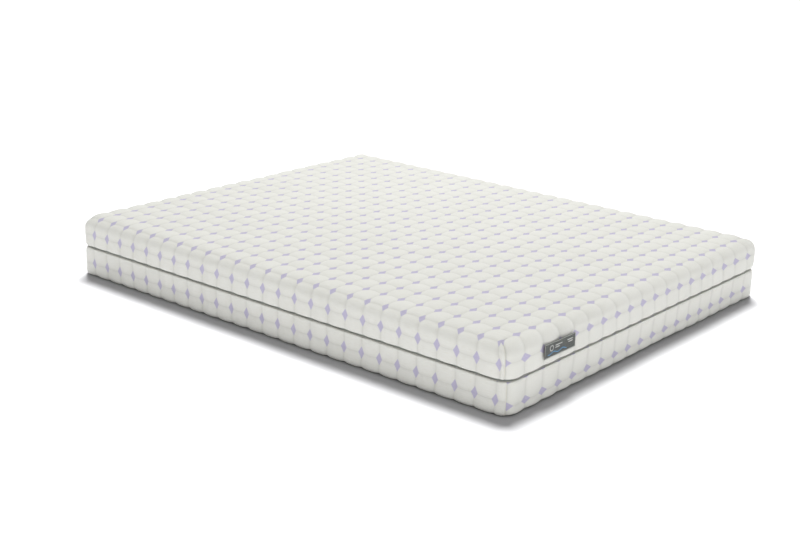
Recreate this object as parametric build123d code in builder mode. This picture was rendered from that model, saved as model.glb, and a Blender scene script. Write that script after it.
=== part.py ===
from build123d import *
import os

# Memory foam mattress, 160 x 200 cm, with a quilted cover that zips apart at mid height.
# Millimetres. The origin is the centre of the underside, +Z is up, X runs along the length.

# Whole mattress
LENGTH = 2000.0
WIDTH = 1600.0
HEIGHT = 230.0
CORNER_RADIUS = 55.0  # of the four upright corners, seen from above
TOP_EDGE_RADIUS = 50.0  # of the rounding from the top panel into the sides
BOTTOM_EDGE_RADIUS = 15.0  # smaller, because the mattress lies on this edge
SEAM_HEIGHT = HEIGHT / 2

# Quilted cover: three layers stitched together, hemmed inwards at the zip
FACE_THICKNESS = 2.0
WADDING_THICKNESS = 9.0
BACKING_THICKNESS = 1.0
COVER_THICKNESS = FACE_THICKNESS + WADDING_THICKNESS + BACKING_THICKNESS
BACKING_INSET = COVER_THICKNESS - BACKING_THICKNESS
GROOVE_HALF_WIDTH = 5.2  # half the slit between the two hems, where the zip shows
HEM_RADIUS = 6.0

# Foam core
CORE_SIDE_GAP = 3.0
CORE_FLAT_GAP = 1.0
CORE_INSET = COVER_THICKNESS + CORE_SIDE_GAP
CORE_TOP_RADIUS = TOP_EDGE_RADIUS - COVER_THICKNESS - CORE_FLAT_GAP
CORE_BOTTOM_RADIUS = BOTTOM_EDGE_RADIUS - COVER_THICKNESS - CORE_FLAT_GAP
CORE_BOTTOM = COVER_THICKNESS + CORE_FLAT_GAP
CORE_TOP = HEIGHT - CORE_BOTTOM
MEMORY_FOAM_THICKNESS = 50.0
SUPPORT_FOAM_THICKNESS = 80.0
CHANNEL_WIDTH = 8.0
CHANNEL_DEPTH = 30.0
CHANNEL_PITCH = 40.0
CHANNELS_PER_ZONE = 5
ZONE_CENTRES = (-680.0, -340.0, 0.0, 340.0, 680.0)

# Zip
TAPE_THICKNESS = 0.6
TAPE_WIDTH = 18.0
TAPE_HALF_GAP = 1.0
COIL_THICKNESS = 2.6
COIL_WIDTH = 3.0
COIL_HALF_GAP = 0.8
COIL_FRONT = WIDTH / 2 - COVER_THICKNESS + COIL_THICKNESS
ZIP_END_X = -888.0  # middle of the short break where the zip's two ends meet
ZIP_END_GAP = 10.0
STOP_LENGTH = 2.5
STOP_THICKNESS = 3.2
STOP_WIDTH = 3.6

# Slider and pull, parked at the closed end of the zip on the far long side
SLIDER_X = -874.0
SLIDER_LENGTH = 14.0
SLIDER_WIDTH = 9.6
SLIDER_CLEARANCE = 0.4
SLIDER_PLATE = 1.2
SLIDER_CORNER = 2.0
WEB_LENGTH = 4.0
WEB_WIDTH = 1.0
WEB_OFFSET = -4.5
FRONT_PLATE_BACK = COIL_FRONT + SLIDER_CLEARANCE
FRONT_PLATE_FRONT = FRONT_PLATE_BACK + SLIDER_PLATE
BACK_PLATE_FRONT = WIDTH / 2 - COVER_THICKNESS - TAPE_THICKNESS - SLIDER_CLEARANCE
BACK_PLATE_BACK = BACK_PLATE_FRONT - SLIDER_PLATE
BAIL_LENGTH = 8.0
BAIL_WIDTH = 2.0
BAIL_RISE = 3.8
BAIL_OPENING_LENGTH = 4.0
BAIL_OPENING_RISE = 2.2
PIVOT_Y = FRONT_PLATE_FRONT + BAIL_OPENING_RISE / 2
PULL_LENGTH = 28.0
PULL_WIDTH = 7.0
PULL_THICKNESS = 1.4
PULL_WINDOW_WIDTH = 2.8
PULL_WINDOW_REACH = 5.4
PULL_END_RADIUS = 3.0

# Woven label, sewn on the +X end above the zip
LABEL_WIDTH = 166.0
LABEL_HEIGHT = 46.0
LABEL_THICKNESS = 1.2
LABEL_CENTRE_Y = -540.0
LABEL_CENTRE_Z = 163.0
LABEL_CORNER = 1.0


def plan(inset):
    """The mattress outline from above, drawn in by inset, in the active sketch."""
    RectangleRounded(LENGTH - 2 * inset, WIDTH - 2 * inset, CORNER_RADIUS - inset)


def top_edges(builder):
    """The edges round a block's top face."""
    return builder.faces().sort_by(Axis.Z)[-1].edges()


def bottom_edges(builder):
    """The edges round a block's bottom face."""
    return builder.faces().sort_by(Axis.Z)[0].edges()


def cover_block(edge_radius, inset, bottom, hem_radius=0.0):
    """A solid block inset from the cover's outside, with its top edge rounded to match."""
    with BuildPart() as block:
        with BuildSketch(Plane.XY.offset(bottom)):
            plan(inset)
        extrude(amount=HEIGHT - inset - bottom)
        fillet(top_edges(block), edge_radius - inset)
        if hem_radius:
            fillet(bottom_edges(block), hem_radius)
    return block.part


def ring(outer_inset, thickness, bottom, top):
    """A thin upright band that follows the outline, in the active part."""
    with BuildSketch(Plane.XY.offset(bottom)) as band:
        plan(outer_inset)
        inner_inset = outer_inset + thickness
        RectangleRounded(
            LENGTH - 2 * inner_inset,
            WIDTH - 2 * inner_inset,
            CORNER_RADIUS - inner_inset,
            mode=Mode.SUBTRACT,
        )
    extrude(band.sketch, amount=top - bottom)


def cover_layers(edge_radius):
    """The face, wadding and backing of one half of the cover, standing as the upper half does.

    The knitted face turns under the wadding at the rim to make the hem.
    """
    upper_rim = SEAM_HEIGHT + GROOVE_HALF_WIDTH
    cavity_floor = SEAM_HEIGHT - GROOVE_HALF_WIDTH
    wadding_rim = upper_rim + FACE_THICKNESS
    wadding_hem = HEM_RADIUS - FACE_THICKNESS
    outside_block = cover_block(edge_radius, 0, upper_rim, HEM_RADIUS)
    wadding_block = cover_block(edge_radius, FACE_THICKNESS, wadding_rim, wadding_hem)
    backing_block = cover_block(edge_radius, BACKING_INSET, cavity_floor)
    cavity_block = cover_block(edge_radius, COVER_THICKNESS, cavity_floor)

    with BuildPart() as face:
        add(outside_block)
        add(wadding_block, mode=Mode.SUBTRACT)
        add(backing_block, mode=Mode.SUBTRACT)

    with BuildPart() as wadding:
        add(wadding_block)
        add(backing_block, mode=Mode.SUBTRACT)

    with BuildPart() as backing:
        add(backing_block)
        add(cavity_block, mode=Mode.SUBTRACT)
        with BuildSketch(Plane.XY.offset(cavity_floor)) as skirt:
            plan(0)
        extrude(skirt.sketch, amount=upper_rim - cavity_floor, mode=Mode.SUBTRACT)
    return face.part, wadding.part, backing.part


def slider_plane(y):
    """A plane facing out of the far long side at distance y, centred on the slider."""
    return Plane(origin=(SLIDER_X, y, SEAM_HEIGHT), x_dir=(1, 0, 0), z_dir=(0, 1, 0))


def keep(name, builder):
    """Labels a finished piece and writes it to its own file."""
    builder.part.label = name
    export_step(builder.part, f"parts/{name}.step")


os.makedirs("parts", exist_ok=True)
seam_plane = Plane.XY.offset(SEAM_HEIGHT)

# Label
label_plane = Plane(
    origin=(LENGTH / 2, LABEL_CENTRE_Y, LABEL_CENTRE_Z), x_dir=(0, 1, 0), z_dir=(1, 0, 0)
)
with BuildPart() as label:
    with BuildSketch(label_plane.offset(-LABEL_THICKNESS)):
        RectangleRounded(LABEL_WIDTH, LABEL_HEIGHT, LABEL_CORNER)
    extrude(amount=LABEL_THICKNESS)
keep("label", label)

# Upper half of the cover. Its face is pressed in where the label is sewn.
upper_face, upper_wadding, upper_backing = cover_layers(TOP_EDGE_RADIUS)

with BuildPart() as upper_cover_face:
    add(upper_face)
    add(label.part, mode=Mode.SUBTRACT)
keep("upper_cover_face", upper_cover_face)

with BuildPart() as upper_cover_wadding:
    add(upper_wadding)
keep("upper_cover_wadding", upper_cover_wadding)

with BuildPart() as upper_cover_backing:
    add(upper_backing)
keep("upper_cover_backing", upper_cover_backing)

# Lower half of the cover, made the same way and turned over
lower_face, lower_wadding, lower_backing = cover_layers(BOTTOM_EDGE_RADIUS)

with BuildPart() as lower_cover_face:
    mirror(lower_face, about=seam_plane)
keep("lower_cover_face", lower_cover_face)

with BuildPart() as lower_cover_wadding:
    mirror(lower_wadding, about=seam_plane)
keep("lower_cover_wadding", lower_cover_wadding)

with BuildPart() as lower_cover_backing:
    mirror(lower_backing, about=seam_plane)
keep("lower_cover_backing", lower_cover_backing)

# Zip tapes, sewn inside the rims
with BuildPart() as upper_zip_tape:
    tape_edge = SEAM_HEIGHT + TAPE_HALF_GAP
    ring(COVER_THICKNESS, TAPE_THICKNESS, tape_edge, tape_edge + TAPE_WIDTH)
keep("upper_zip_tape", upper_zip_tape)

with BuildPart() as lower_zip_tape:
    mirror(upper_zip_tape.part, about=seam_plane)
keep("lower_zip_tape", lower_zip_tape)

# Zip coils, each an open ring whose two ends nearly meet at the zip's end
with BuildPart() as upper_zip_coil:
    coil_edge = SEAM_HEIGHT + COIL_HALF_GAP
    ring(COVER_THICKNESS - COIL_THICKNESS, COIL_THICKNESS, coil_edge, coil_edge + COIL_WIDTH)
    with BuildSketch(Plane.XY.offset(coil_edge)):
        with Locations((ZIP_END_X, WIDTH / 2)):
            Rectangle(ZIP_END_GAP, 2 * COVER_THICKNESS + 1)
    extrude(amount=COIL_WIDTH, mode=Mode.SUBTRACT)
keep("upper_zip_coil", upper_zip_coil)

with BuildPart() as lower_zip_coil:
    mirror(upper_zip_coil.part, about=seam_plane)
keep("lower_zip_coil", lower_zip_coil)

# Stops clamped on the tape at both ends of each coil
with BuildPart() as upper_zip_stops:
    stop_offset = (ZIP_END_GAP - STOP_LENGTH) / 2
    stop_y = WIDTH / 2 - COVER_THICKNESS + STOP_THICKNESS / 2
    with BuildSketch(Plane.XY.offset(SEAM_HEIGHT + TAPE_HALF_GAP)):
        with Locations((ZIP_END_X - stop_offset, stop_y), (ZIP_END_X + stop_offset, stop_y)):
            Rectangle(STOP_LENGTH, STOP_THICKNESS)
    extrude(amount=STOP_WIDTH)
keep("upper_zip_stops", upper_zip_stops)

with BuildPart() as lower_zip_stops:
    mirror(upper_zip_stops.part, about=seam_plane)
keep("lower_zip_stops", lower_zip_stops)

# Slider: a plate in front of the coils and one behind the tapes, joined by a web that runs
# between the coils, with a bail on the front that holds the pull
with BuildPart() as zip_slider_body:
    for plate_back in (BACK_PLATE_BACK, FRONT_PLATE_BACK):
        with BuildSketch(slider_plane(plate_back)):
            RectangleRounded(SLIDER_LENGTH, SLIDER_WIDTH, SLIDER_CORNER)
        extrude(amount=SLIDER_PLATE)
    with BuildSketch(slider_plane(BACK_PLATE_BACK)):
        with Locations((WEB_OFFSET, 0)):
            RectangleRounded(WEB_LENGTH, WEB_WIDTH, 0.4 * WEB_WIDTH)
    extrude(amount=FRONT_PLATE_FRONT - BACK_PLATE_BACK)
    with BuildSketch(Plane.XY.offset(SEAM_HEIGHT - BAIL_WIDTH / 2)):
        with Locations((SLIDER_X, FRONT_PLATE_FRONT)):
            Rectangle(BAIL_LENGTH, BAIL_RISE, align=(Align.CENTER, Align.MIN))
            Rectangle(
                BAIL_OPENING_LENGTH,
                BAIL_OPENING_RISE,
                align=(Align.CENTER, Align.MIN),
                mode=Mode.SUBTRACT,
            )
    extrude(amount=BAIL_WIDTH)
    bail_corners = zip_slider_body.edges().filter_by(Axis.Z).group_by(Axis.Y)[-1]
    fillet(bail_corners, 0.4 * BAIL_OPENING_RISE)
keep("zip_slider_body", zip_slider_body)

# Pull: a flat tab whose cross pin turns under the bail
with BuildPart() as zip_pull_tab:
    with BuildSketch(Plane.XY.offset(SEAM_HEIGHT - PULL_WIDTH / 2)):
        with Locations((SLIDER_X + PULL_LENGTH / 2, PIVOT_Y)):
            SlotCenterToCenter(PULL_LENGTH, PULL_THICKNESS)
    extrude(amount=PULL_WIDTH)
    with BuildSketch(Plane.XY.offset(SEAM_HEIGHT - PULL_WINDOW_WIDTH / 2)):
        with Locations((SLIDER_X + PULL_WINDOW_REACH, PIVOT_Y)):
            Rectangle(
                PULL_WINDOW_REACH + PULL_THICKNESS,
                2 * PULL_THICKNESS,
                align=(Align.MAX, Align.CENTER),
            )
    extrude(amount=PULL_WINDOW_WIDTH, mode=Mode.SUBTRACT)
    with BuildSketch(Plane.XY.offset(SEAM_HEIGHT - PULL_WIDTH / 2)):
        with Locations((SLIDER_X, PIVOT_Y)):
            Circle(PULL_THICKNESS / 2)
    extrude(amount=PULL_WIDTH)
    with BuildSketch(slider_plane(PIVOT_Y - PULL_THICKNESS)):
        with Locations((PULL_LENGTH, 0)):
            Rectangle(2 * PULL_WIDTH, 2 * PULL_WIDTH)
        with Locations((PULL_LENGTH - PULL_WIDTH, 0)):
            RectangleRounded(2 * PULL_WIDTH, PULL_WIDTH, PULL_END_RADIUS, mode=Mode.SUBTRACT)
            Rectangle(PULL_WIDTH, PULL_WIDTH, mode=Mode.SUBTRACT)
    extrude(amount=2 * PULL_THICKNESS, mode=Mode.SUBTRACT)
keep("zip_pull_tab", zip_pull_tab)

# Foam core, three slabs glued flat: base, zoned support with cross channels, memory foam
support_top = CORE_TOP - MEMORY_FOAM_THICKNESS
support_bottom = support_top - SUPPORT_FOAM_THICKNESS

with BuildPart() as base_foam_layer:
    with BuildSketch(Plane.XY.offset(CORE_BOTTOM)):
        plan(CORE_INSET)
    extrude(amount=support_bottom - CORE_BOTTOM)
    fillet(bottom_edges(base_foam_layer), CORE_BOTTOM_RADIUS)
keep("base_foam_layer", base_foam_layer)

with BuildPart() as zoned_support_layer:
    with BuildSketch(Plane.XY.offset(support_bottom)):
        plan(CORE_INSET)
    extrude(amount=SUPPORT_FOAM_THICKNESS)
    with BuildSketch(Plane.XY.offset(support_top)):
        for zone_centre in ZONE_CENTRES:
            with Locations((zone_centre, 0)):
                with GridLocations(CHANNEL_PITCH, WIDTH, CHANNELS_PER_ZONE, 1):
                    Rectangle(CHANNEL_WIDTH, WIDTH)
    extrude(amount=-CHANNEL_DEPTH, mode=Mode.SUBTRACT)
keep("zoned_support_layer", zoned_support_layer)

with BuildPart() as memory_foam_layer:
    with BuildSketch(Plane.XY.offset(support_top)):
        plan(CORE_INSET)
    extrude(amount=MEMORY_FOAM_THICKNESS)
    fillet(top_edges(memory_foam_layer), CORE_TOP_RADIUS)
keep("memory_foam_layer", memory_foam_layer)
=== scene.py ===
import math

import bmesh
import bpy
import numpy as np
from mathutils import Matrix, Vector


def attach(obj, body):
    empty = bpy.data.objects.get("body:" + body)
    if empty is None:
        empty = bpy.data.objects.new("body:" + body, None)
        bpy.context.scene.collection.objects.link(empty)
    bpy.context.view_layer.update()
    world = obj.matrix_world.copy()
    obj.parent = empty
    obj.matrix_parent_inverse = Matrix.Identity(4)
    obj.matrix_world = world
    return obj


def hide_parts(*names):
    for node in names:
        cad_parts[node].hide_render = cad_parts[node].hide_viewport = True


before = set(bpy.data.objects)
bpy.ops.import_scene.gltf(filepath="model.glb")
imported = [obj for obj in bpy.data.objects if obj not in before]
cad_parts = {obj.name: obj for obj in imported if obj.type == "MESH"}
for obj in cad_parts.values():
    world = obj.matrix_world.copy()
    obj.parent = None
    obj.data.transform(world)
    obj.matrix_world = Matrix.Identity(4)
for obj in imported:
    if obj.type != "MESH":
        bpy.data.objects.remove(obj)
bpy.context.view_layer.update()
scene = bpy.context.scene
MM = 0.001

# Whole mattress, in millimetres: half sizes, corner and edge radii, zip height
HX, HY, H = 1000.0, 800.0, 230.0
RC = 55.0
TOP_RE, BOTTOM_RE = 50.0, 15.0
PRESSED_RE = 8.0  # of the quilting that the weight presses into the lower edge
CX, CY = HX - RC, HY - RC
ROLL = 6.0
HEM_Z = 120.2
DEPTH = 11.0  # how far the hem is turned in
PX, PY = 74.35, 81.2  # quilting pitch along the length and across
VALLEY = 5.5  # stitch lines lie this far inside the outer size
CROWN = 5.0
UPPER_LIP, LOWER_LIP = 5.0, 2.2  # how far the hems swell together, except where the slider runs
CORNER_BULGE = 8.0
DIAMOND_X, DIAMOND_Y = 12.3, 21.5  # half the diamonds' size
FIRM = 8.4  # puff height over the stitch lines
X_LINE, Y_LAST = 945.0, 771.4  # outermost stitch lines of the top panel at the head end and at the sides
FOOT_LINE = 988.1  # arc place of the first stitch line over the foot edge
SEAM_Z = 115.0  # middle of the zip

# Cloth simulation
FRAMES = 16
PRESSURE = 1.6
LARGEST_MOVE = 2.6  # millimetres, beyond the puffs' own shape

# Zip teeth: where the zip's two ends meet, and the straight stretch that the slider runs along
BREAK_LOW, BREAK_HIGH = -893.5, -863.0
RUN_X, RUN_Y = 940.0, 780.0


# ---------- Small mesh helpers ----------

def make(name, points, faces, material=None, smooth=True):
    mesh = bpy.data.meshes.new(name)
    mesh.from_pydata((np.asarray(points) * MM).tolist(), [], faces)
    mesh.validate()
    mesh.shade_smooth() if smooth else mesh.shade_flat()
    obj = bpy.data.objects.new(name, mesh)
    scene.collection.objects.link(obj)
    if material:
        mesh.materials.append(material)
    return obj


def outward(obj):
    bm = bmesh.new()
    bm.from_mesh(obj.data)
    bmesh.ops.recalc_face_normals(bm, faces=bm.faces)
    bm.to_mesh(obj.data)
    bm.free()
    return obj


def grid_faces(rows, cols, start=0, flip=False, wrap=False):
    """Quads of a grid of points stored row by row."""
    out = []
    for i in range(rows - 1):
        for j in range(cols if wrap else cols - 1):
            k = (j + 1) % cols
            row = start + i * cols
            q = (row + j, row + k, row + cols + k, row + cols + j)
            out.append(q[::-1] if flip else q)
    return out


def ticks(lines, low, high, n):
    """n steps in each cell between stitch lines, closer together near the lines, cut to low..high."""
    lines = np.sort(np.asarray(lines, float))
    u = np.arange(n) / n
    u = u - 0.3 * np.sin(2 * np.pi * u) / (2 * np.pi)
    out = np.concatenate([a + (b - a) * u for a, b in zip(lines[:-1], lines[1:])] + [lines[-1:]])
    inside = out[(out > low + 4) & (out < high - 4)]
    return np.concatenate([[low], inside, [high]])


def soft(x, low, high):
    t = np.clip((x - low) / (high - low), 0, 1)
    return t * t * (3 - 2 * t)


# ---------- The quilted cover ----------

class Profile:
    """The side of one half, from the flat's edge down to the hem, with edge radius re."""

    def __init__(self, re):
        self.re = re
        self.arc = re * math.pi / 2
        self.roll_d = self.arc + H - re - HEM_Z - ROLL  # where the hem starts to turn in
        self.hem_d = self.roll_d + ROLL * math.pi / 2
        self.end_d = self.hem_d + DEPTH - ROLL

    def down(self, d):
        """Inset, turn-in, height and turning angle at arc distance d below the flat's edge."""
        d = np.asarray(d, float)
        th = np.clip(d, 0, self.arc) / self.re
        e = np.where(d < 0, self.re - d, self.re - self.re * np.sin(th))
        z = H - self.re + self.re * np.cos(th) - np.clip(d - self.arc, 0, self.roll_d - self.arc)
        al = np.clip((d - self.roll_d) / ROLL, 0, math.pi / 2)
        turn = ROLL * (1 - np.cos(al)) + np.clip(d - self.hem_d, 0, None)
        return e, turn, z - ROLL * np.sin(al), al

    def at_height(self, z):
        return self.arc + H - self.re - z

    def height(self, e):
        rest = np.clip(self.re - e, 0, self.re)
        return H - self.re + np.sqrt(np.clip(self.re**2 - rest**2, 0, None))

    def normals(self, nx, ny, e, al):
        """Outward normals: plan direction (nx, ny) tilted by the rounding and the turned hem."""
        s = np.clip((self.re - e) / self.re, 0, 1)
        up = np.sqrt(np.clip(1 - s * s, 0, None))
        side, rise = s * np.cos(al), up * (al == 0) - np.sin(al)
        n = np.stack([nx * side, ny * side, rise], -1)
        return n / np.linalg.norm(n, axis=-1, keepdims=True)


def puff(u, v):
    """Height of the quilting at lattice place (u, v), from 0 at a diamond to 1 on a crest."""
    su, sv = np.abs(np.sin(np.pi * u)), np.abs(np.sin(np.pi * v))
    du, dv = np.abs(u - np.round(u)) * PX, np.abs(v - np.round(v)) * PY
    flat = soft(du / DIAMOND_X + dv / DIAMOND_Y, 0.4, 1.6)
    return (0.35 + 0.65 * flat) * flat * (0.78 * (su * sv) ** 0.55 + 0.22 * (su**2 + sv**2 - (su * sv) ** 2))


def swell_corners(Q, P):
    """The stuffed corners stand out a little further than a true arc."""
    ox, oy = np.abs(P[:, 0]) - CX, np.abs(P[:, 1]) - CY
    r = np.hypot(ox, oy)
    share = np.where((ox > 0) & (oy > 0), 2 * ox * oy / np.maximum(r * r, 1e-6), 0) ** 1.5
    out = CORNER_BULGE * share * soft(r, 15, 45) * (0.35 + 0.65 * soft(P[:, 2], HEM_Z, HEM_Z + 22))
    out = out * (1 - 0.6 * soft(P[:, 2], 215, 228))
    Q[:, 0] += np.sign(P[:, 0]) * out * 0.7
    Q[:, 1] += np.sign(P[:, 1]) * out * 0.7


class Half:
    """One half of the cover, built as the upper one; the lower one is turned over at the end."""

    def __init__(self, profile, x_line, y_last, seam_share, splay, rows, n, fold, lip):
        self.fold, self.lip = fold, lip
        self.side, self.y_last, self.seam_share, self.splay, self.n = profile, y_last, seam_share, splay, n
        self.py = y_last / 9.5
        self.x_line = x_line
        self.rows = rows
        self.P, self.N, self.UV, self.LIFT, self.PIN, self.faces = [], [], [], [], [], []

    def seam(self, e):
        """Angle of the corner seam from the long side's normal, where the profile is inset by e."""
        return self.seam_share * np.arccos(np.clip((self.y_last - CY) / (RC - e + 1e-9), 0, 1))

    def add(self, p, n, uv, lift, pin, flip):
        rows, cols = p.shape[:2]
        start = sum(len(a) for a in self.P)
        for store, a in ((self.P, p), (self.N, n), (self.UV, uv), (self.LIFT, lift), (self.PIN, pin)):
            store.append(a.reshape(rows * cols, -1))
        self.faces += grid_faces(rows, cols, start, flip)

    def on_line(self, u, v):
        return (np.abs(u - np.round(u)) < 1e-4) | (np.abs(v - np.round(v)) < 1e-4)

    def top(self):
        lines_x = self.x_line - PX * np.arange(-1, 28)
        lines_y = -self.y_last + self.py * np.arange(20)
        xs = ticks(lines_x, -CX, CX, self.n)
        ys = ticks(lines_y, -self.y_last, self.y_last, self.n)
        x, y = np.meshgrid(xs, ys)
        e = HY - np.abs(y)
        n = self.side.normals(0 * x, np.sign(y), e, 0 * x)
        u, v = (self.x_line - x) / PX, (y + self.y_last) / self.py
        lift = FIRM * puff(u, v)
        self.xs, self.ys = xs, ys
        p = np.stack([x, y, self.side.height(e)], -1)
        self.add(p, n, np.stack([u, v], -1), lift, self.on_line(u, v), False)

    def levels(self, knots, along):
        """Rows of a side as lattice place and arc distance, from knots (place, distance, steps)."""
        vs, ds = [], []
        for (v0, d0, n), (v1, d1, _) in zip(knots[:-1], knots[1:]):
            t = np.arange(n) / n
            if n > 3:
                t = t - 0.3 * np.sin(2 * np.pi * t) / (2 * np.pi)
            for k in t:
                vs.append(v0 + (v1 - v0) * k + 0 * along)
                ds.append(d0 + (d1 - d0) * k + 0 * along)
        v0, d0, _ = knots[-1]
        p = self.side
        hem = [p.roll_d + k for k in (-7, 0, 2.2, 4.6)] + [p.hem_d - 2, p.hem_d, p.end_d - 2, p.end_d]
        for d in hem:
            vs.append(v0 + (d - d0) / self.py)
            ds.append(d + 0 * along)
        return np.array(vs), np.array(ds)

    def lift(self, u, v, d, to_seam, folded):
        """Puffs, drawn in at the hem and the corner seams, with the seam allowance raised on one side."""
        roll_d, hem_d = self.side.roll_d, self.side.hem_d
        hem = 1 - soft(d, roll_d - 6, hem_d)
        seam = 0.2 + 0.8 * (1 - np.exp(-to_seam / 7))
        fold = 2.6 * soft(to_seam, 0.5, 5) * (1 - soft(to_seam, 9, 14))
        fold = fold * soft(d, self.first_d, self.first_d + 25) * folded
        return FIRM * puff(u, v) * seam * hem + fold * hem + 3.2 * soft(d, roll_d - 12, hem_d)

    def sag(self, z, y, u, d):
        """The hem swells towards the zip, most between the stitch lines and not where the slider runs."""
        p = self.side
        swell = self.lip * (1 - soft(y, 735, 785)) + 1.6 * (np.abs(np.sin(np.pi * u)) - 0.6)
        return z - swell * soft(d, p.roll_d - 18, p.roll_d) * (1 - soft(d, p.hem_d - 2, p.end_d - 2))

    def long_side(self, sign):
        fan = RC * float(self.seam(0.0))
        step = np.array([0, 5, 10, 15, 20, 25, 29, 32.5, 35, 38, 41, 44])
        step = step[step < fan - 1.5]
        a = np.concatenate([-CX - np.append(step[1:], fan)[::-1], self.xs, CX + np.append(step[1:], fan)])
        knots = [(0, self.first_d + 0 * a, self.n), (1, self.rows["long"](a), 4)]
        v, d = self.levels(knots, a)
        u = (self.x_line - a) / PX + 0 * v
        p = self.side
        e, turn, z, al = p.down(d)
        drift = self.splay[0] * a + self.splay[1] + self.splay[2] * soft(a, 880, CX)
        drift = np.clip(v, 0, 1) * drift * np.clip((CX + fan - np.abs(a)) / fan, 0, 1)
        s = a + drift
        over = np.clip(np.abs(s) - CX, 0, None)
        phi = over / fan * self.seam(np.where(d < p.arc, e, 0.0))
        nx, ny = np.sign(s) * np.sin(phi), -np.cos(phi)
        r = RC - e - turn
        x = np.where(over > 0, np.sign(s) * CX, s) + r * nx
        y = -CY + r * ny
        z = self.sag(z, sign * -y, u, d)
        lift = self.lift(u, v, d, CX + fan - np.abs(s), self.fold == "long")
        pin = self.on_line(u, v) | (d > p.roll_d - 3)
        pin = pin | (np.abs(a) > CX + fan - 0.1) | (np.abs(d - d[0]) < 0.1)
        n = p.normals(nx, ny, e, al)
        lattice_v = -v
        if sign > 0:
            y, n[..., 1], lattice_v = -y, -n[..., 1], 19 + v
        self.add(np.stack([x, y, z], -1), n, np.stack([u, lattice_v], -1), lift, pin, sign < 0)

    def short_side(self, sign):
        t = self.ys
        fan_n = np.array([0.3, 0.62, 0.86, 1.0])
        m = len(fan_n)
        cols = np.concatenate([-self.y_last * np.ones(m), t, self.y_last * np.ones(m)])
        share = np.concatenate([fan_n[::-1], 0 * t, fan_n])
        knots = self.rows["foot" if sign < 0 else "head"](cols)
        v, d = self.levels(knots, cols)
        p = self.side
        e_std, turn, z, al = p.down(d)
        e0 = RC - np.clip(np.abs(cols) - CY, 0, None)
        e = e_std * e0 / RC
        z = np.where(d < p.arc, p.height(e), z)
        fall = np.clip(1 - e_std / RC, 0, 1)
        edge = np.clip((np.abs(cols) - 520) / 170, 0, 1)
        y = np.abs(cols) + self.splay[3] * edge**1.5 * fall
        last = math.pi / 2 - self.seam(e)
        psi = np.arcsin(np.clip((y - CY) / (RC - e + 1e-9), 0, 1))
        psi = np.minimum(psi, last - 0.04)
        psi = psi + share * (last - psi)
        r = RC - e - turn
        x = CX + r * np.cos(psi)
        yy = np.where(psi > 0, CY + r * np.sin(psi), y)
        sy = np.where(cols < 0, -1.0, 1.0)
        u = (self.x_line - CX) / PX - (v - knots[0][0])
        lat = (cols + self.y_last) / self.py + sy * share * 0.14 + 0 * v
        if sign < 0:
            u = (self.x_line + CX) / PX + (v - knots[0][0])
        z = self.sag(z, sy * yy, lat, d)
        to_seam = np.clip((math.pi / 2 - self.seam(e) - psi) * RC, 0, None) + np.clip(CY - y, 0, None)
        lift = self.lift(u, lat, d, to_seam, self.fold == "short")
        pin = self.on_line(u, lat) | (d > p.roll_d - 3) | (share > 0.99) | (np.abs(d - d[0]) < 0.1)
        n = p.normals(sign * np.cos(psi), sy * np.sin(psi), e, al)
        self.add(np.stack([sign * x, sy * yy, z], -1), n, np.stack([u, lat], -1), lift, pin, sign > 0)

    def build(self, name, lower):
        re, e0 = self.side.re, HY - self.y_last
        self.first_d = re - e0 if e0 > re else re * math.asin((re - e0) / re)
        self.top()
        for sign in (-1, 1):
            self.long_side(sign)
            self.short_side(sign)
        P, N, UV = (np.concatenate(a) for a in (self.P, self.N, self.UV))
        lift, pin = np.concatenate(self.LIFT)[:, 0], np.concatenate(self.PIN)[:, 0].astype(bool)
        flat = N[:, 2] > 0.99
        lift = lift * (1 + 0.09 * np.sin(P[:, 0] / 97 + P[:, 1] / 61) * np.sin(P[:, 1] / 143 + 1.3))
        if lower:
            lift = np.where(flat, np.minimum(lift, 3.7), lift)
        Q = P + N * (lift - VALLEY)[:, None]
        if not lower:
            bulge = (1 - np.clip(P[:, 0] / HX, -1, 1) ** 2) * (1 - np.clip(P[:, 1] / HY, -1, 1) ** 2)
            Q[:, 2] += CROWN * bulge * np.clip((P[:, 2] - 140) / 90, 0, 1)
        body = np.clip((P[:, 2] - HEM_Z - 4) / 25, 0, 1)
        swell_corners(Q, P)
        Q[:, 0] += 1.1 * np.sin(P[:, 1] / 83 + 0.6) * np.sin(P[:, 0] / 190) * body
        Q[:, 1] += 1.1 * np.sin(P[:, 0] / 71 + 2.1) * np.sin(P[:, 1] / 230) * body
        faces = self.faces
        if lower:
            Q[:, 2] = H - Q[:, 2]
            faces = [f[::-1] for f in faces]
        obj = make(name, Q, faces)
        layer = obj.data.uv_layers.new(name="lattice")
        index = np.zeros(len(obj.data.loops), np.int32)
        obj.data.loops.foreach_get("vertex_index", index)
        layer.data.foreach_set("uv", UV[index].astype(np.float32).ravel())
        group = obj.vertex_groups.new(name="stitched")
        group.add(np.nonzero(pin)[0].tolist(), 1.0, "REPLACE")
        bm = bmesh.new()
        bm.from_mesh(obj.data)
        bmesh.ops.remove_doubles(bm, verts=bm.verts, dist=0.02 * MM)
        bmesh.ops.dissolve_degenerate(bm, edges=bm.edges, dist=0.01 * MM)
        bm.to_mesh(obj.data)
        bm.free()
        return obj


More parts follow.
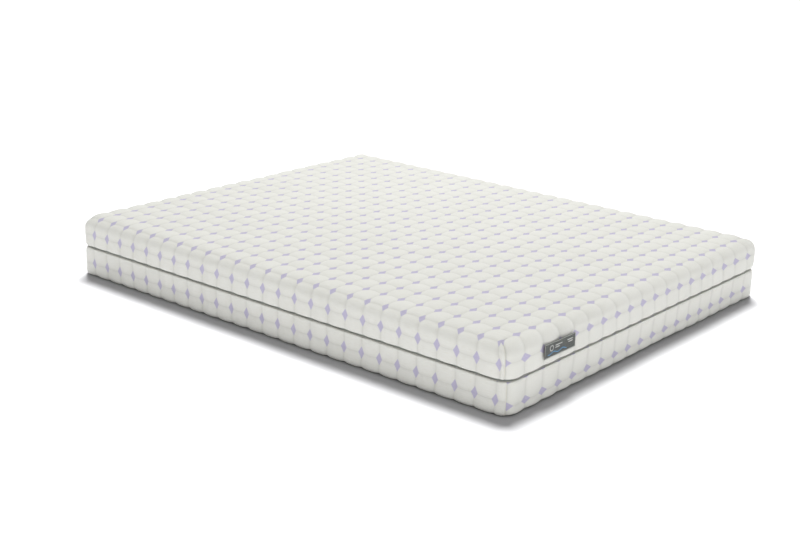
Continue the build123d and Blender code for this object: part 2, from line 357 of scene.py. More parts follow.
def inflate(obj, lower):
    """Blows the quilting up between its stitch lines with a cloth simulation, and applies the result."""
    mesh = obj.data
    count = len(mesh.vertices)
    before = np.zeros(count * 3, np.float32)
    mesh.vertices.foreach_get("co", before)
    before = before.reshape(-1, 3)
    cloth = obj.modifiers.new("cloth", "CLOTH")
    s = cloth.settings
    s.quality = 5
    s.mass = 0.15
    s.tension_stiffness = s.compression_stiffness = 12
    s.shear_stiffness = 6
    s.bending_stiffness = 0.6
    s.tension_damping = s.compression_damping = s.shear_damping = 12
    s.air_damping = 3
    s.vertex_group_mass = "stitched"
    s.use_pressure = True
    s.uniform_pressure_force = PRESSURE
    s.shrink_min = -0.012
    s.effector_weights.gravity = 0
    cloth.collision_settings.use_collision = False
    cloth.collision_settings.use_self_collision = False
    cloth.point_cache.frame_start, cloth.point_cache.frame_end = 1, FRAMES
    for f in range(1, FRAMES + 1):
        scene.frame_set(f)
    grown = obj.evaluated_get(bpy.context.evaluated_depsgraph_get()).to_mesh()
    after = np.zeros(count * 3, np.float32)
    grown.vertices.foreach_get("co", after)
    obj.modifiers.remove(cloth)
    scene.frame_set(1)
    move = after.reshape(-1, 3) - before
    size = np.linalg.norm(move, axis=1, keepdims=True)
    move = np.where(np.isfinite(size), move * np.minimum(1, LARGEST_MOVE * MM / np.maximum(size, 1e-9)), 0)
    result = before + move
    if lower:
        result[:, 2] = np.maximum(result[:, 2], 0.0002)
    mesh.vertices.foreach_set("co", result.astype(np.float32).ravel())
    mesh.update()


def smooth_once(obj):
    mod = obj.modifiers.new("fine", "SUBSURF")
    mod.levels = mod.render_levels = 1
    mod.uv_smooth = "PRESERVE_BOUNDARIES"
    fine = bpy.data.meshes.new_from_object(obj.evaluated_get(bpy.context.evaluated_depsgraph_get()))
    obj.modifiers.clear()
    old, obj.data = obj.data, fine
    bpy.data.meshes.remove(old)
    fine.shade_smooth()


# ---------- Materials ----------

class Nodes:
    """A material's node tree, built with short calls."""

    def __init__(self, name, rough=0.8, sheen=0.0, metal=0.0):
        self.mat = bpy.data.materials.new(name)
        self.mat.use_nodes = True
        self.t = self.mat.node_tree
        self.bsdf = self.t.nodes["Principled BSDF"]
        self.bsdf.inputs["Roughness"].default_value = rough
        self.bsdf.inputs["Sheen Weight"].default_value = sheen
        self.bsdf.inputs["Sheen Roughness"].default_value = 0.6
        self.bsdf.inputs["Metallic"].default_value = metal

    def node(self, kind, **values):
        n = self.t.nodes.new(kind)
        for k, v in values.items():
            setattr(n, k, v)
        return n

    def put(self, socket, value):
        if isinstance(value, bpy.types.NodeSocket):
            self.t.links.new(value, socket)
        else:
            socket.default_value = value

    def math(self, op, a, b=0.0, c=None):
        n = self.node("ShaderNodeMath", operation=op)
        self.put(n.inputs[0], a)
        self.put(n.inputs[1], b)
        if c is not None:
            self.put(n.inputs[2], c)
        return n.outputs[0]

    def span(self, x, low, high, to_low=0.0, to_high=1.0):
        n = self.node("ShaderNodeMapRange", interpolation_type="SMOOTHSTEP")
        for socket, value in zip(n.inputs[:5], (x, low, high, to_low, to_high)):
            self.put(socket, value)
        return n.outputs[0]

    def place(self, scale=(1, 1, 1)):
        n = self.node("ShaderNodeMapping")
        n.inputs["Scale"].default_value = scale
        self.put(n.inputs["Vector"], self.node("ShaderNodeTexCoord").outputs["Object"])
        return n.outputs[0]

    def noise(self, at, scale, detail=3.0, rough=0.5):
        n = self.node("ShaderNodeTexNoise")
        for k, v in (("Vector", at), ("Scale", scale), ("Detail", detail), ("Roughness", rough)):
            self.put(n.inputs[k], v)
        return n.outputs["Fac"]

    def cells(self, at, scale):
        n = self.node("ShaderNodeTexVoronoi")
        self.put(n.inputs["Vector"], at)
        self.put(n.inputs["Scale"], scale)
        return n.outputs["Distance"]

    def mix(self, fac, a, b):
        n = self.node("ShaderNodeMix", data_type="RGBA")
        self.put(n.inputs[0], fac)
        self.put(n.inputs[6], a)
        self.put(n.inputs[7], b)
        return n.outputs[2]

    def bump(self, height, distance, strength=1.0):
        n = self.node("ShaderNodeBump")
        n.inputs["Strength"].default_value = strength
        n.inputs["Distance"].default_value = distance
        self.put(n.inputs["Height"], height)
        self.put(self.bsdf.inputs["Normal"], n.outputs[0])

    def finish(self, color, rough=None):
        self.put(self.bsdf.inputs["Base Color"], color)
        if rough is not None:
            self.put(self.bsdf.inputs["Roughness"], rough)
        return self.mat


def rgb(r, g, b):
    lin = [c / 12.92 if c <= 0.04045 else ((c + 0.055) / 1.055) ** 2.4 for c in (r / 255, g / 255, b / 255)]
    return (*lin, 1.0)


def knit_material():
    """Ivory double knit with lilac diamonds at the crossings of the stitch lines, by lattice coordinates."""
    m = Nodes("quilt_knit", rough=0.86, sheen=0.18)
    uv = m.node("ShaderNodeUVMap", uv_map="lattice")
    xyz = m.node("ShaderNodeSeparateXYZ")
    m.put(xyz.inputs[0], uv.outputs[0])
    place = m.place()
    near = []
    for axis, pitch in ((0, PX), (1, PY)):
        r = m.math("ROUND", xyz.outputs[axis])
        near.append(m.math("MULTIPLY", m.math("ABSOLUTE", m.math("SUBTRACT", xyz.outputs[axis], r)), pitch))
    fray = m.math("MULTIPLY", m.math("SUBTRACT", m.noise(place, 420, 2), 0.5), 0.16)
    away = m.math("ADD", m.math("DIVIDE", near[0], DIAMOND_X), m.math("DIVIDE", near[1], DIAMOND_Y))
    away = m.math("ADD", away, fray)
    diamond = m.span(away, 0.93, 1.05, 1.0, 0.0)
    line = m.span(m.math("MINIMUM", near[0], near[1]), 0.3, 2.2, 1.0, 0.0)
    wales = m.math("SINE", m.math("MULTIPLY", xyz.outputs[1], PY * 2 * math.pi / 1.7))
    courses = m.math("SINE", m.math("MULTIPLY", xyz.outputs[0], PX * 2 * math.pi / 1.15))
    crossed = m.math("MULTIPLY", m.math("MULTIPLY", wales, courses), 0.4)
    loops = m.math("ADD", m.math("MULTIPLY", wales, 0.6), crossed)
    tone = m.noise(place, 7, 4)
    slub = m.noise(m.place((40, 420, 300)), 1.0, 3)
    ivory = m.mix(tone, rgb(226, 226, 220), rgb(218, 218, 211))
    ivory = m.mix(m.span(slub, 0.45, 0.8, 0.0, 0.45), ivory, rgb(212, 210, 198))
    # Painted shade: the knit is darkened towards the stitch lines, in the valleys between the puffs
    painted_valley_shade = m.span(m.math("MINIMUM", near[0], near[1]), 0.0, 13.0, 0.14, 0.0)
    ivory = m.mix(painted_valley_shade, ivory, rgb(176, 176, 170))
    # Painted shade: a thin darker line in the crease of each stitch line
    ivory = m.mix(m.math("MULTIPLY", line, 0.2), ivory, rgb(188, 187, 176))
    # Painted shade and highlight: the lilac is darker in the hollows between the knit's loops and lighter on
    # them
    lilac = m.mix(m.span(loops, -1, 1, 0.0, 1.0), rgb(176, 170, 197), rgb(192, 187, 209))
    color = m.mix(diamond, ivory, lilac)
    # Painted shade in the hollows between the knit's loops
    color = m.mix(m.span(loops, -1, 0.4, 0.10, 0.0), color, rgb(160, 158, 150))
    grain = m.math("ADD", m.math("MULTIPLY", loops, 0.22), m.math("MULTIPLY", m.noise(place, 900, 2), 0.5))
    height = m.math("SUBTRACT", grain, m.math("MULTIPLY", line, 1.2))
    height = m.math("SUBTRACT", height, m.math("MULTIPLY", diamond, 0.5))
    m.bump(height, 0.0006, 0.7)
    return m.finish(color, m.span(tone, 0.2, 0.8, 0.82, 0.92))


def seam_material():
    m = Nodes("seam_knit", rough=0.88, sheen=0.15)
    place = m.place((1, 1, 1))
    tone = m.noise(place, 30, 3)
    ribs = m.math("SINE", m.math("MULTIPLY", m.noise(place, 240, 1), 40))
    color = m.mix(tone, rgb(229, 227, 217), rgb(214, 211, 199))
    # Painted shade in the hollows between the ribs
    color = m.mix(m.span(ribs, -1, 0.5, 0.16, 0.0), color, rgb(170, 168, 158))
    m.bump(m.math("ADD", ribs, m.noise(place, 700, 3)), 0.0004, 0.6)
    return m.finish(color)


def thread_material(name, color, dark):
    m = Nodes(name, rough=0.55, sheen=0.2)
    place = m.place()
    twist = m.math("SINE", m.math("MULTIPLY", m.noise(place, 600, 1), 30))
    m.bump(twist, 0.0002, 0.8)
    # Painted shade and highlight: the thread is darker where its twist sinks and lighter where it rises
    return m.finish(m.mix(m.span(twist, -1, 1), dark, color))


def tape_material():
    """Grey woven zip tape: a fine herringbone in bands along the tape."""
    m = Nodes("zip_tape", rough=0.8, sheen=0.1)
    xyz = m.node("ShaderNodeSeparateXYZ")
    m.put(xyz.inputs[0], m.place())
    along = m.math("ADD", xyz.outputs[0], xyz.outputs[1])
    up = m.math("PINGPONG", xyz.outputs[2], 0.0016)
    weave = m.math("SINE", m.math("MULTIPLY", m.math("ADD", along, up), 2 * math.pi / 0.0011))
    rows = m.math("SINE", m.math("MULTIPLY", xyz.outputs[2], 2 * math.pi / 0.0008))
    cloth = m.math("ADD", weave, m.math("MULTIPLY", rows, 0.6))
    tone = m.noise(m.place(), 18, 3)
    # Painted shade and highlight: the weave is darker where its threads sink and lighter where they rise
    color = m.mix(m.span(cloth, -1.6, 1.6), rgb(150, 156, 149), rgb(178, 184, 176))
    color = m.mix(m.math("MULTIPLY", tone, 0.35), color, rgb(136, 142, 135))
    m.bump(cloth, 0.00025, 0.9)
    return m.finish(color)


def coil_material():
    m = Nodes("zip_coil", rough=0.36)
    place = m.place()
    tone = m.noise(place, 160, 3)
    m.bump(m.noise(place, 1500, 2), 0.0001, 0.5)
    return m.finish(m.mix(tone, rgb(150, 156, 149), rgb(176, 181, 174)), m.span(tone, 0.2, 0.8, 0.3, 0.48))


def metal_material():
    """Grey painted zinc, worn bright along its edges."""
    m = Nodes("zip_metal", rough=0.35, metal=0.75)
    place = m.place()
    edge = m.node("ShaderNodeNewGeometry").outputs["Pointiness"]
    worn = m.math("MULTIPLY", m.span(edge, 0.52, 0.6), m.span(m.noise(place, 500, 4), 0.35, 0.65))
    speck = m.noise(place, 2200, 3)
    color = m.mix(m.noise(place, 220, 3), rgb(118, 122, 118), rgb(140, 144, 140))
    color = m.mix(worn, color, rgb(205, 206, 202))
    m.bump(speck, 0.00006, 0.5)
    return m.finish(color, m.span(speck, 0.3, 0.7, 0.28, 0.5))


def label_material():
    """Charcoal woven satin with fine warp and weft."""
    m = Nodes("label", rough=0.5, sheen=0.12)
    xyz = m.node("ShaderNodeSeparateXYZ")
    m.put(xyz.inputs[0], m.place())
    warp = m.math("SINE", m.math("MULTIPLY", xyz.outputs[1], 2 * math.pi / 0.0007))
    weft = m.math("SINE", m.math("MULTIPLY", xyz.outputs[2], 2 * math.pi / 0.00055))
    cloth = m.math("MULTIPLY", warp, weft)
    tone = m.noise(m.place(), 45, 3)
    # Painted shade and highlight: the satin is darker where warp and weft sink and lighter where they rise
    color = m.mix(m.span(cloth, -1, 1), rgb(42, 47, 42), rgb(62, 68, 61))
    color = m.mix(m.span(tone, 0.35, 0.75, 0, 0.3), color, rgb(74, 79, 72))
    m.bump(cloth, 0.00018, 0.8)
    return m.finish(color)


def foam_material(name, light, dark, size, painted_pore_shade=0.4):
    """Open-cell foam: fine cells, a few larger pores and a cloudy tone."""
    m = Nodes(name, rough=0.92)
    place = m.place()
    fine = m.cells(place, size)
    pores = m.span(m.cells(place, size * 0.32), 0.05, 0.28, 0.0, 1.0)
    cloud = m.noise(place, 5, 4)
    grain = m.math("MULTIPLY", fine, pores)
    color = m.mix(m.span(cloud, 0.3, 0.75), light, dark)
    # Painted shade in the cells and pores
    color = m.mix(m.span(grain, 0.0, 0.35, painted_pore_shade, 0.0), color, tuple(c * 0.62 for c in dark[:3]) + (1.0,))
    m.bump(grain, 0.0012, 0.7)
    return m.finish(color)


def lining_material(name, light, dark):
    """Spun-bonded lining: soft dimples in rows and loose fibres."""
    m = Nodes(name, rough=0.9, sheen=0.08)
    place = m.place()
    dots = m.cells(place, 240)
    fibre = m.noise(m.place((260, 60, 260)), 1.0, 4)
    color = m.mix(fibre, light, dark)
    # Painted shade in the dimples
    color = m.mix(m.span(dots, 0.05, 0.35, 0.3, 0.0), color, tuple(c * 0.8 for c in dark[:3]) + (1.0,))
    m.bump(m.math("ADD", dots, m.math("MULTIPLY", fibre, 0.6)), 0.0006, 0.6)
    return m.finish(color)


KNIT = knit_material()
SEAM = seam_material()
TAPE = tape_material()
COIL = coil_material()
METAL = metal_material()
LABEL = label_material()
BROWN = thread_material("brown_thread", rgb(128, 98, 84), rgb(92, 70, 60))
PALE = thread_material("label_border", rgb(206, 208, 200), rgb(160, 164, 156))
WHITE = thread_material("motif_white", rgb(236, 236, 232), rgb(180, 182, 178))
BLUE = thread_material("motif_blue", rgb(70, 160, 200), rgb(40, 102, 160))
LINING = lining_material("backing", rgb(226, 225, 218), rgb(206, 205, 197))
MEMORY = foam_material("memory_foam", rgb(240, 232, 206), rgb(230, 220, 190), 420)
SUPPORT = foam_material("support_foam", rgb(206, 220, 228), rgb(188, 206, 218), 330)
BASE = foam_material("base_foam", rgb(236, 236, 230), rgb(222, 222, 214), 300)


# ---------- Cover halves ----------

def bow(a, half):
    return 1 - np.clip(np.abs(a) / half, 0, 1) ** 2


UPPER_SIDE, LOWER_SIDE = Profile(TOP_RE), Profile(PRESSED_RE)


def upper_head(t):
    return [(0.0, TOP_RE - RC + 0 * t, 6), (1.0, UPPER_SIDE.at_height(172 + 5 * bow(t, 700)), 5)]


def upper_foot(t):
    first = 1 - (FOOT_LINE - CX) / PX
    return [(first, TOP_RE - RC + 0 * t, 4), (1.0, 38.1 + 0 * t, 6), (2.0, 112.5 + 0 * t, 2)]


def lower_head(t):
    return [(0.0, PRESSED_RE - RC + 0 * t, 8), (1.0, LOWER_SIDE.at_height(187.5 - 7.5 * t / HY), 5)]


def lower_foot(t):
    first = 1 - (FOOT_LINE - CX) / PX
    return [(first, PRESSED_RE - RC + 0 * t, 5), (1.0, -3.9 + 0 * t, 6), (2.0, 70.5 + 0 * t, 4)]


STEPS = 6
upper = Half(UPPER_SIDE, X_LINE, Y_LAST, 0.59, (0.0107, 2.6, 9.0, 24.0), {
    "long": lambda a: UPPER_SIDE.at_height(166 + 4 * bow(a, 950)), "head": upper_head, "foot": upper_foot},
    STEPS, "long", UPPER_LIP)
lower = Half(LOWER_SIDE, X_LINE, Y_LAST, 0.734, (0.0127, -1.2, 2.0, 12.0), {
    "long": lambda a: LOWER_SIDE.at_height(180 - 9 * bow(a, 950)), "head": lower_head, "foot": lower_foot},
    STEPS, "short", LOWER_LIP)

covers = {}
for name, half, is_lower, body in (("upper_cover_quilt", upper, False, "upper_cover"),
                                   ("lower_cover_quilt", lower, True, "lower_cover")):
    obj = half.build(name, is_lower)
    inflate(obj, is_lower)
    smooth_once(obj)
    obj.data.materials.append(KNIT)
    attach(obj, body)
    side = body.split("_")[0]
    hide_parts(side + "_cover_face", side + "_cover_wadding")
    covers[side] = obj


# ---------- Corner seams ----------

def corner_strip(half, sx, sy, is_lower, name, body):
    """The sewn seam that runs down each corner, a narrow cord of gathered knit in its valley."""
    p = half.side
    d = np.concatenate([np.linspace(half.first_d + 6, p.arc, 14), np.linspace(p.arc + 4, p.roll_d, 14),
                        np.linspace(p.roll_d + 2, p.hem_d, 5), [p.end_d]])
    e, turn, z, al = p.down(d)
    width = 3.2 * soft(d, half.first_d - 4, half.first_d + 30) + 0.8
    w = np.linspace(-0.5, 0.5, 9)
    rise = -5.6 + 2.6 * np.cos(np.pi * w) ** 0.5
    psi = math.pi / 2 - half.seam(np.where(d < p.arc, e, 0.0))
    loops, points = [], []
    for i in range(len(d)):
        a = psi[i] - w * width[i] / RC
        fade = 1 - 0.55 * soft(d[i], p.roll_d - 4, p.hem_d)
        outer = rise * fade - 0.9 * (1 - fade)
        for lift, order in ((outer, slice(None)), (np.full(9, -7.5), slice(None, None, -1))):
            ang = a[order]
            off = (lift + 0.35 * math.sin(d[i] / 6.5))[order]
            s = max(0.0, (p.re - e[i]) / p.re) if d[i] < p.arc else 1.0
            up = math.sqrt(max(0.0, 1 - s * s))
            side, vert = s * math.cos(al[i]), up - math.sin(al[i])
            r = RC - e[i] - turn[i]
            x = sx * (CX + (r + off * side) * np.cos(ang))
            y = sy * (CY + (r + off * side) * np.sin(ang))
            zz = z[i] + off * vert
            points.append(np.stack([x, y, H - zz if is_lower else zz], -1))
    points = np.concatenate(points)
    upright = points.copy()
    upright[:, 2] = H - points[:, 2] if is_lower else points[:, 2]
    swell_corners(points, upright)
    faces = grid_faces(len(d), 18, wrap=True)
    faces += [tuple(range(18)), tuple(range((len(d) - 1) * 18, len(d) * 18))[::-1]]
    obj = outward(make(name, points, faces, SEAM))
    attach(obj, body)
    smooth_once(obj)
    return obj


def stitches(name, centres, directions, ups, length, width, material, body):
    """A row of short raised stitches, each a small lozenge."""
    points, faces = [], []
    for c, t, n in zip(centres, directions, ups):
        t, n = t / np.linalg.norm(t), n / np.linalg.norm(n)
        b = np.cross(n, t)
        k = len(points)
        points += [c - t * length / 2, c - t * length * 0.2 + b * width / 2,
                   c - t * length * 0.2 - b * width / 2,
                   c - t * length * 0.2 + n * width * 0.6, c + t * length * 0.2 + b * width / 2,
                   c + t * length * 0.2 - b * width / 2, c + t * length * 0.2 + n * width * 0.6,
                   c + t * length / 2]
        faces += [(k, k + 1, k + 3), (k, k + 3, k + 2), (k, k + 2, k + 1), (k + 1, k + 4, k + 6, k + 3),
                  (k + 3, k + 6, k + 5, k + 2), (k + 2, k + 5, k + 4, k + 1), (k + 4, k + 7, k + 6),
                  (k + 6, k + 7, k + 5), (k + 5, k + 7, k + 4)]
    obj = outward(make(name, points, faces, material))
    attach(obj, body)
    return obj


for half, is_lower, body in ((upper, False, "upper_cover"), (lower, True, "lower_cover")):
    side = body.split("_")[0]
    for i, (sx, sy) in enumerate(((1, -1), (1, 1), (-1, 1), (-1, -1))):
        corner_strip(half, sx, sy, is_lower, f"{side}_corner_seam_{i + 1}", body)


# ---------- Lining, foam ----------

def contour(inset, n=14, side=24):
    """Points round the plan of the mattress at an inset, anticlockwise, with the rounded corners."""
    r = max(RC - inset, 0.5)
    cx, cy = (CX, CY) if inset < RC - 0.5 else (HX - inset - r, HY - inset - r)
    out = []
    for k, (sx, sy) in enumerate(((1, -1), (1, 1), (-1, 1), (-1, -1))):
        a0 = -math.pi / 2 + k * math.pi / 2
        for a in np.linspace(a0, a0 + math.pi / 2, n):
            out.append((sx * cx + r * math.cos(a), sy * cy + r * math.sin(a)))
        nx, ny = ((1, 1), (-1, 1), (-1, -1), (1, -1))[k]
        a1 = a0 + math.pi / 2
        p = np.array(out[-1])
        q = np.array((nx * cx + r * math.cos(a1), ny * cy + r * math.sin(a1)))
        for f in np.linspace(0, 1, side + 2)[1:-1]:
            out.append(tuple(p + (q - p) * f))
    return np.array(out)


def lining(name, body, is_lower):
    """The backing cloth inside one half of the cover, a shallow tray one millimetre thick."""
    rings = []
    for depth, order in ((DEPTH, 1), (DEPTH + 1.0, -1)):
        re = BOTTOM_RE if is_lower else TOP_RE
        rr = re - depth
        part = [(depth, HEM_Z + 0.2), (depth, 134), (depth, 150), (depth, H - re)]
        arc = np.linspace(0, math.pi / 2, 8)[1:]
        part += [(re - rr * math.cos(a), H - re + rr * math.sin(a)) for a in arc]
        part += [(ins, H - depth) for ins in (90, 180, 300, 430, 560, 680, 770)]
        rings += part[::order]
    points = []
    for k, (ins, z) in enumerate(rings):
        c = contour(ins)
        ripple = 0.5 * np.sin(c[:, 0] / 47 + k) * np.sin(c[:, 1] / 39) * (z < H - 13) * (z > HEM_Z + 1)
        zz = z - 0.8 * np.sin(c[:, 0] / 60) ** 2 * (z > H - 13) * (ins > 60)
        c = c * (1 - np.abs(ripple)[:, None] / 1000)
        points.append(np.column_stack([c, H - zz if is_lower else zz]))
    n = len(points[0])
    half = len(rings) // 2
    faces = grid_faces(len(rings), n, wrap=True)
    faces = [f for f in faces if not ((half - 1) * n <= f[0] < half * n)]
    faces += [tuple(range((half - 1) * n, half * n)), tuple(range(half * n, (half + 1) * n))[::-1]]
    last = (len(rings) - 1) * n
    faces += [(j, last + j, last + (j + 1) % n, (j + 1) % n) for j in range(n)]
    obj = outward(make(name, np.concatenate(points), faces, LINING))
    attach(obj, body)
    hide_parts(body + "_backing")
    return obj


lining("upper_cover_lining", "upper_cover", False)
lining("lower_cover_lining", "lower_cover", True)


def slab(name, z0, z1, r0, r1, node, material, channels=()):
    """A foam slab, lofted along the length from sections across it, with soft cut edges."""
    inset, rp = 15.0, RC - 15.0
    ends = np.array([0.0, 0.6, 2.0, 4.5, 8, 13, 19, 26, 33, 40])
    body_x = np.linspace(-(HX - inset - 46), HX - inset - 46, 49)
    stations = [(x, 0.0) for x in np.concatenate([-(HX - inset) + ends, body_x, (HX - inset) - ends[::-1]])]
    if channels:
        stations = [s for s in stations if all(abs(s[0] - c) > 9 for c in channels)]
        for c in channels:
            stations += [(c - 5.2, 0.0), (c - 4.2, 0.8), (c - 4.0, 2.5), (c - 3.95, 28), (c - 3.2, 30),
                         (c + 3.2, 30), (c + 3.95, 28), (c + 4.0, 2.5), (c + 4.2, 0.8), (c + 5.2, 0.0)]
        stations.sort()
    points, m = [], 0
    for x, cut in stations:
        s = HX - inset - abs(x)
        w = HY - inset - (rp - math.sqrt(max(0, rp**2 - max(0.0, rp - s) ** 2)))
        low = z0 + (r0 - math.sqrt(max(0, r0**2 - max(0.0, r0 - s) ** 2)))
        high = z1 - (r1 - math.sqrt(max(0, r1**2 - max(0.0, r1 - s) ** 2))) - cut
        ring = []
        for r, cz, sy, a0 in ((r1, high, 1, 0), (r1, high, -1, 90), (r0, low, -1, 180), (r0, low, 1, 270)):
            rr = min(r, (high - low) / 2 - 0.1)
            top = cz == high and a0 < 180
            for a in np.radians(np.linspace(a0, a0 + 90, 5)):
                middle = cz - rr if top else cz + rr
                ring.append((sy * (w - rr) + rr * math.cos(a), middle + rr * math.sin(a)))
            if a0 in (0, 180):
                span = np.linspace(sy * (w - rr), -sy * (w - rr), 34)[1:-1]
                ring += [(y, cz + (0.5 if top else 0) * math.sin(y / 57 + x / 83)) for y in span]
        m = len(ring)
        points += [(x, y, z) for y, z in ring]
    faces = grid_faces(len(stations), m, wrap=True)
    faces += [tuple(range(m)), tuple(range((len(stations) - 1) * m, len(stations) * m))[::-1]]
    obj = outward(make(name, points, faces, material))
    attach(obj, "core")
    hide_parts(node)
    return obj


CHANNELS = [c + 40 * (k - 2) for c in (-680, -340, 0, 340, 680) for k in range(5)]
slab("base_foam", 13.0, 86.7, 2.0, 3.0, "base_foam_layer", BASE)
slab("support_foam", 87.0, 166.7, 3.0, 3.0, "zoned_support_layer", SUPPORT, CHANNELS)
slab("memory_foam", 167.0, 217.0, 3.0, 37.0, "memory_foam_layer", MEMORY)


# ---------- Zip ----------

def round_path(inset, pitch):
    """Points a pitch apart round the mattress at an inset, with their outward directions."""
    r, lx, ly = RC - inset, 2 * CX, 2 * CY
    legs = [lx, r * math.pi / 2, ly, r * math.pi / 2] * 2
    total = sum(legs)
    n = round(total / pitch)
    out = []
    for s in np.arange(n) * total / n:
        k = 0
        while s > legs[k]:
            s -= legs[k]
            k += 1
        turn = (k // 2) * math.pi / 2 - math.pi / 2
        sx, sy = ((-1, -1), (1, -1), (1, 1), (-1, 1))[k // 2]
        if k % 2:
            a = turn + s / r
            qx, qy = ((1, -1), (1, 1), (-1, 1), (-1, -1))[k // 2]
            out.append((qx * CX + r * math.cos(a), qy * CY + r * math.sin(a), math.cos(a), math.sin(a)))
        else:
            nx, ny = math.cos(turn), math.sin(turn)
            out.append((sx * CX + r * nx - ny * s, sy * CY + r * ny + nx * s, nx, ny))
    return np.array(out)


def teeth(name, up, body, node):
    """One half of the zip's coil: looped teeth that reach past the middle, except along the slider's run,
    where they stop short of the slider's web."""
    meshed = np.array([(0.5, 3.7), (0.42, 0.4), (0.72, -0.5), (0.5, -1.15)])
    parted = np.array([(0.5, 3.7), (0.42, 2.2), (0.72, 1.3), (0.5, 0.65)])
    points, faces = [], []
    path = round_path(DEPTH - 0.3, 2.0)
    for i, (x, y, nx, ny) in enumerate(path):
        tx, ty = -ny, nx
        x, y = x + tx * (0.5 if up > 0 else -0.5), y + ty * (0.5 if up > 0 else -0.5)
        if y > RUN_Y and BREAK_LOW < x < BREAK_HIGH:
            continue
        k = len(points)
        for half, dz in parted if y > RUN_Y and abs(x) < RUN_X else meshed:
            for a, b in ((-half, -1.15), (half, -1.15), (half, 1.15), (-half, 1.15)):
                points.append((x + tx * a + nx * b, y + ty * a + ny * b, SEAM_Z + up * dz))
        faces += grid_faces(4, 4, k, wrap=True) + [(k, k + 1, k + 2, k + 3), (k + 15, k + 14, k + 13, k + 12)]
    obj = outward(make(name, points, faces, COIL, smooth=False))
    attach(obj, body)
    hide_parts(node)
    return obj


teeth("upper_zip_teeth", 1, "upper_cover", "upper_zip_coil")
teeth("lower_zip_teeth", -1, "lower_cover", "lower_zip_coil")


def repaint(node, material, bevel=0.0):
    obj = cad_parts[node]
    obj.data.materials.clear()
    obj.data.materials.append(material)
    if bevel:
        mod = obj.modifiers.new("edges", "BEVEL")
        mod.width, mod.segments, mod.limit_method = bevel * MM, 3, "ANGLE"
        obj.data.shade_smooth()
        smooth = obj.modifiers.new("weighted", "WEIGHTED_NORMAL")
        smooth.keep_sharp = True


repaint("upper_zip_tape", TAPE)
repaint("lower_zip_tape", TAPE)
repaint("upper_zip_stops", METAL, 0.3)
repaint("lower_zip_stops", METAL, 0.3)
repaint("zip_slider_body", METAL, 0.25)
repaint("zip_pull_tab", METAL, 0.3)


# ---------- Label ----------

LABEL_Y, LABEL_Z, LABEL_W, LABEL_H = -540.0, 163.5, 166.0, 46.0


def label_point(s, t, out=0.0):
    """A place on the label, s along it and t up it in millimetres from its middle, on the bulging side."""
    y = LABEL_Y + s
    e, _, z, _ = UPPER_SIDE.down(UPPER_SIDE.at_height(LABEL_Z + t))
    bend = 0.5 * math.sin(y / 12.9 + 0.8) * (0.5 + 0.5 * t / LABEL_H) + 0.4 * math.sin(s / 31 + t / 23)
    tip = -0.8 * (abs(s) / (LABEL_W / 2)) ** 6
    lean = max(0.0, (TOP_RE - float(e)) / TOP_RE)
    off = 5.2 + bend + tip + out
    return np.array((HX - float(e) + off * lean, y, float(z) + off * math.sqrt(max(0.0, 1 - lean**2))))


def patch(name, s_range, t_range, material, low, high):
    """A woven patch lying on the label's surface, from height low to high above it."""
    cols, rows = 57, 17
    points = []
    for level in (high, low):
        for t in np.linspace(*t_range, rows):
            for s in np.linspace(*s_range, cols):
                points.append(label_point(s, t, level))
    n = rows * cols
    faces = grid_faces(rows, cols) + grid_faces(rows, cols, n, flip=True)
    edge = list(range(cols)) + [r * cols + cols - 1 for r in range(1, rows)]
    edge += [n - 1 - c for c in range(1, cols)] + [r * cols for r in range(rows - 2, 0, -1)]
    faces += [(edge[i], edge[i - 1], edge[i - 1] + n, edge[i] + n) for i in range(len(edge))]
    obj = outward(make(name, points, faces, material))
    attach(obj, "upper_cover")
    return obj


def ribbon(name, line, width, material, closed=False):
    """A raised satin-stitched line on the label through places (s, t)."""
    line = np.array(line, float)
    ahead = np.roll(line, -1, 0) - np.roll(line, 1, 0) if closed else np.gradient(line, axis=0)
    side = np.stack([-ahead[:, 1], ahead[:, 0]], -1)
    side /= np.linalg.norm(side, axis=1, keepdims=True)
    points = []
    for i, (p, b) in enumerate(zip(line, side)):
        pulse = 1 + 0.1 * (i % 2)
        taper = 1.0 if closed else min(1.0, 0.35 + 0.5 * min(i, len(line) - 1 - i))
        for f, lift in ((-0.5, 0.15), (-0.3, 0.6), (0, 0.8), (0.3, 0.6), (0.5, 0.15), (0, -0.1)):
            q = p + b * f * width * pulse * taper
            points.append(label_point(q[0], q[1], 0.45 + lift * 0.75))
    m = len(line)
    faces = grid_faces(m, 6, wrap=True)
    if closed:
        faces += [((m - 1) * 6 + j, (m - 1) * 6 + (j + 1) % 6, (j + 1) % 6, j) for j in range(6)]
    else:
        faces += [tuple(range(6)), tuple(range((m - 1) * 6, m * 6))[::-1]]
    obj = outward(make(name, points, faces, material))
    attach(obj, "upper_cover")
    return obj


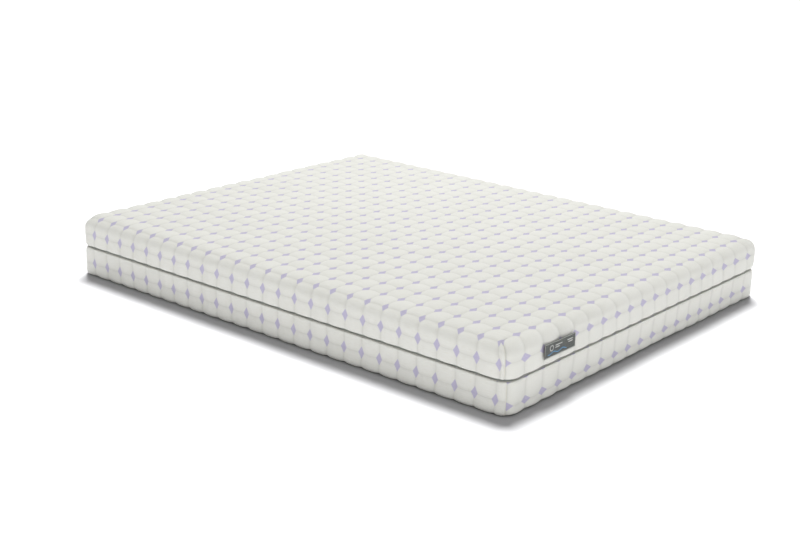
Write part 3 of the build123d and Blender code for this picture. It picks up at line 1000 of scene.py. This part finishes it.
label = patch("label_patch", (-LABEL_W / 2, LABEL_W / 2), (-LABEL_H / 2, LABEL_H / 2), LABEL,
              -0.9, 0.5)
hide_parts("label")
hw, hh = LABEL_W / 2 - 1.6, LABEL_H / 2 - 1.6
edge = [(-hw + f * 2 * hw, -hh) for f in np.linspace(0, 1, 60)[:-1]]
edge += [(hw, -hh + f * 2 * hh) for f in np.linspace(0, 1, 18)[:-1]]
edge += [(hw - f * 2 * hw, hh) for f in np.linspace(0, 1, 60)[:-1]]
edge += [(-hw, hh - f * 2 * hh) for f in np.linspace(0, 1, 18)[:-1]]
ribbon("label_border", edge, 1.7, PALE, closed=True)
ring = [(-46 + 8.5 * math.cos(a), 5 + 8.5 * math.sin(a)) for a in np.linspace(0, 2 * math.pi, 37)[:-1]]
ribbon("label_ring", ring, 2.6, WHITE, closed=True)
for i, (s0, s1, t) in enumerate(((-28, 10, 10), (-28, -4, 3), (36, 66, 10), (42, 66, 3))):
    ribbon(f"label_bar_{i + 1}", [(s, t) for s in np.linspace(s0, s1, 24)], 3.0, WHITE)
wave = [(s, -11 + 3.0 * math.sin(s / 7.5)) for s in np.linspace(-66, 34, 90)]
ribbon("label_wave", wave, 3.2, BLUE)

tack = [(-hw + 0.4 - 2.4, t) for t in np.linspace(-hh, hh, 13)]
centres = [label_point(s, t, 0.5) for s, t in tack]
stitches("label_tack", centres, [np.array((0, 0, 1.0))] * 13, [np.array((1.0, 0, 0))] * 13, 2.6, 1.6, BROWN,
         "upper_cover")


# ---------- Floor, light, camera ----------

floor_mat = Nodes("floor", rough=0.9)
floor_mat.bsdf.inputs["Specular IOR Level"].default_value = 0.1
grain = floor_mat.noise(floor_mat.place(), 3, 3)
floor_mat.finish(floor_mat.mix(grain, (0.35, 0.35, 0.357, 1), (0.37, 0.37, 0.377, 1)))
FLOOR_HALF = 40000
floor_corners = [(sx * FLOOR_HALF, sy * FLOOR_HALF, -1) for sx, sy in ((-1, -1), (1, -1), (1, 1), (-1, 1))]
floor = make("floor", np.array(floor_corners), [(0, 1, 2, 3)], floor_mat.mat)

world = bpy.data.worlds.new("studio")
world.use_nodes = True
world.node_tree.nodes["Background"].inputs["Color"].default_value = (1.0, 1.0, 1.0, 1)
world.node_tree.nodes["Background"].inputs["Strength"].default_value = 0.6
scene.world = world

# A wide lamp for the floor alone, behind the mattress, so that the floor is white and the shadow clear
lamp = bpy.data.lights.new("floor_lamp", "SUN")
lamp.energy, lamp.angle = 9.0, math.radians(20)
lamp_obj = bpy.data.objects.new("floor_lamp", lamp)
scene.collection.objects.link(lamp_obj)
lamp_obj.rotation_mode = "QUATERNION"
lamp_obj.rotation_quaternion = Vector((0.30, -0.36, -1.0)).to_track_quat("-Z", "Y")
floor_only = bpy.data.collections.new("floor_only")
floor_only.objects.link(floor)
lamp_obj.light_linking.receiver_collection = floor_only


def area(name, at, target, size, power, color=(1, 1, 1)):
    light = bpy.data.lights.new(name, "AREA")
    light.shape, light.size, light.energy, light.color = "DISK", size, power, color
    obj = bpy.data.objects.new(name, light)
    scene.collection.objects.link(obj)
    obj.location = at
    obj.rotation_mode = "QUATERNION"
    obj.rotation_quaternion = (Vector(target) - Vector(at)).to_track_quat("-Z", "Y")


area("key", (-0.9, 1.5, 4.6), (0, 0, 0.1), 2.0, 130)
area("front", (3.8, -3.6, 3.4), (0.2, 0, 0.1), 2.6, 45)

az, el, roll = math.radians(129.78), math.radians(-17.49), math.radians(1.59)
forward = Vector((math.cos(el) * math.cos(az), math.cos(el) * math.sin(az), math.sin(el)))
right = Vector((math.sin(az), -math.cos(az), 0))
up = right.cross(forward)
right, up = right * math.cos(roll) + up * math.sin(roll), up * math.cos(roll) - right * math.sin(roll)
camera = bpy.data.cameras.new("camera")
camera.lens, camera.sensor_width = 61.1, 36
camera.clip_start, camera.clip_end = 0.05, 100
eye = bpy.data.objects.new("camera", camera)
scene.collection.objects.link(eye)
turn = Matrix((right, up, -forward)).transposed().to_4x4()
eye.matrix_world = Matrix.Translation((3.0962, -3.8218, 1.618)) @ turn
scene.camera = eye
scene.view_settings.view_transform = "Standard"
